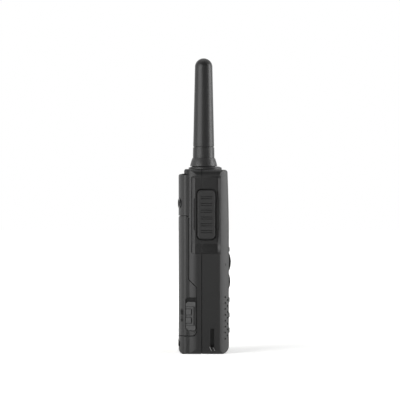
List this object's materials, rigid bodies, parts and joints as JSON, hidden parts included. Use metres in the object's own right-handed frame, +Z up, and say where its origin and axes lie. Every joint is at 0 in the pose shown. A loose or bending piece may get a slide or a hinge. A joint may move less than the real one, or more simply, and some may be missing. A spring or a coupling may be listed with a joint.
{
  "type": "portable two-way radio",
  "caption": "Hand-held two-way radio: slim shell with stub antenna, side talk key, front display and keys, and a battery pack that tilts out behind two side latches.",
  "frame": {"origin": "middle of the flat foot the radio stands on", "axes": "+Z up along the antenna, -Y towards the front with display and keys, -X towards the side with the talk key"},
  "size_m": [0.0554, 0.0347, 0.1924],
  "materials": {
    "black_shell": "fine spark-eroded texture, polycarbonate blend",
    "key_rubber": "moulded silicone, matt",
    "seal_rubber": "moulded, matt",
    "antenna_rubber": "overmoulded elastomer, satin",
    "knob_plastic": "moulded, satin",
    "orange_button": "moulded, satin",
    "display_cover": "hard-coated clear acrylic over a dark border",
    "light_pipe": "frosted polycarbonate",
    "module_grey": "moulded",
    "board_green": "solder resist over glass laminate",
    "can_steel": "plated steel",
    "black_steel": "black zinc plated steel",
    "speaker_black": "moulded",
    "speaker_felt": "acoustic felt",
    "brass_parts": "turned",
    "gold_contacts": "gold-plated",
    "cell_wrap": "shrink-wrapped cells"
  },
  "bodies": {
    "housing": {"front_housing": "black_shell", "rear_housing": "black_shell", "housing_seal": "seal_rubber", "top_deck": "black_shell", "status_light": "light_pipe", "antenna_bush": "brass_parts", "display_lens": "display_cover", "display_module": "module_grey", "keypad_bezel": "black_shell", "keypad_board": "board_green", "main_board": "board_green", "shield_cans": "can_steel", "speaker_driver": "speaker_black", "speaker_cloth": "speaker_felt", "speaker_guard": "key_rubber", "microphone": "can_steel", "talk_switch": "module_grey", "volume_control": "module_grey", "accessory_contacts": "speaker_black", "clip_inserts": "black_steel", "case_screws": "can_steel", "battery_springs": "gold_contacts", "charge_contacts": "gold_contacts"},
    "talk_key": {"talk_key": "key_rubber"},
    "emergency_button": {"emergency_button": "orange_button"},
    "volume_knob": {"volume_knob": "knob_plastic", "volume_shaft": "can_steel"},
    "antenna_seal": {"antenna_seal": "seal_rubber"},
    "antenna": {"antenna_skirt": "antenna_rubber", "antenna_ferrule": "antenna_rubber", "antenna_sheath": "antenna_rubber", "antenna_core": "brass_parts", "antenna_stud": "brass_parts"},
    "battery_pack": {"battery_case": "black_shell", "battery_cells": "cell_wrap", "battery_pads": "gold_contacts"},
    "latch_left": {"battery_latch_left": "knob_plastic"},
    "latch_right": {"battery_latch_right": "knob_plastic"},
    "accessory_cover": {"accessory_cover": "key_rubber"},
    "select_key_left": {"select_key_left": "key_rubber"},
    "navigation_key": {"navigation_key": "key_rubber"},
    "select_key_right": {"select_key_right": "key_rubber"},
    "function_key_left": {"function_key_left": "key_rubber"},
    "function_key_middle": {"function_key_middle": "key_rubber"},
    "function_key_right": {"function_key_right": "key_rubber"}
  },
  "joints": [
    {"name": "talk_press", "type": "slide", "parent": "housing", "child": "talk_key", "axis": [1, 0, 0], "range_m": [0, 0.001], "stiffness_N_per_m": 1500},
    {"name": "emergency_press", "type": "slide", "parent": "housing", "child": "emergency_button", "axis": [0, 0, -1], "range_m": [0, 0.0008], "stiffness_N_per_m": 1500},
    {"name": "volume_turn", "type": "hinge", "parent": "housing", "child": "volume_knob", "pos_m": [0.0126, 0, 0.128], "axis": [0, 0, -1], "range_deg": [0, 270]},
    {"name": "antenna_rise", "type": "slide", "parent": "housing", "child": "antenna_seal", "axis": [0, 0, 1], "range_m": [0, 0.004]},
    {"name": "antenna_turn", "type": "hinge", "parent": "antenna_seal", "child": "antenna", "pos_m": [-0.013, 0, 0.122], "axis": [0, 0, 1], "range_deg": [0, 1800]},
    {"name": "battery_tilt", "type": "hinge", "parent": "housing", "child": "battery_pack", "pos_m": [0, 0.0145, 0.0893], "axis": [1, 0, 0], "range_deg": [0, 12]},
    {"name": "latch_left_slide", "type": "slide", "parent": "battery_pack", "child": "latch_left", "axis": [0, 0, 1], "range_m": [0, 0.0025]},
    {"name": "latch_right_slide", "type": "slide", "parent": "battery_pack", "child": "latch_right", "axis": [0, 0, 1], "range_m": [0, 0.0025]},
    {"name": "accessory_cover_open", "type": "hinge", "parent": "housing", "child": "accessory_cover", "pos_m": [0.0267, -0.0047, 0.0784], "axis": [0, 1, 0], "range_deg": [0, 95]},
    {"name": "select_left_press", "type": "slide", "parent": "housing", "child": "select_key_left", "axis": [0, 1, 0], "range_m": [0, 0.0005], "stiffness_N_per_m": 1500},
    {"name": "navigation_press", "type": "slide", "parent": "housing", "child": "navigation_key", "axis": [0, 1, 0], "range_m": [0, 0.0005], "stiffness_N_per_m": 1500},
    {"name": "select_right_press", "type": "slide", "parent": "housing", "child": "select_key_right", "axis": [0, 1, 0], "range_m": [0, 0.0005], "stiffness_N_per_m": 1500},
    {"name": "function_left_press", "type": "slide", "parent": "housing", "child": "function_key_left", "axis": [0, 1, 0], "range_m": [0, 0.0005], "stiffness_N_per_m": 1500},
    {"name": "function_middle_press", "type": "slide", "parent": "housing", "child": "function_key_middle", "axis": [0, 1, 0], "range_m": [0, 0.0005], "stiffness_N_per_m": 1500},
    {"name": "function_right_press", "type": "slide", "parent": "housing", "child": "function_key_right", "axis": [0, 1, 0], "range_m": [0, 0.0005], "stiffness_N_per_m": 1500}
  ],
  "couplings": [
    {"joint": "antenna_rise", "follows": "antenna_turn", "m_per_rad": 0.00012732}
  ]
}
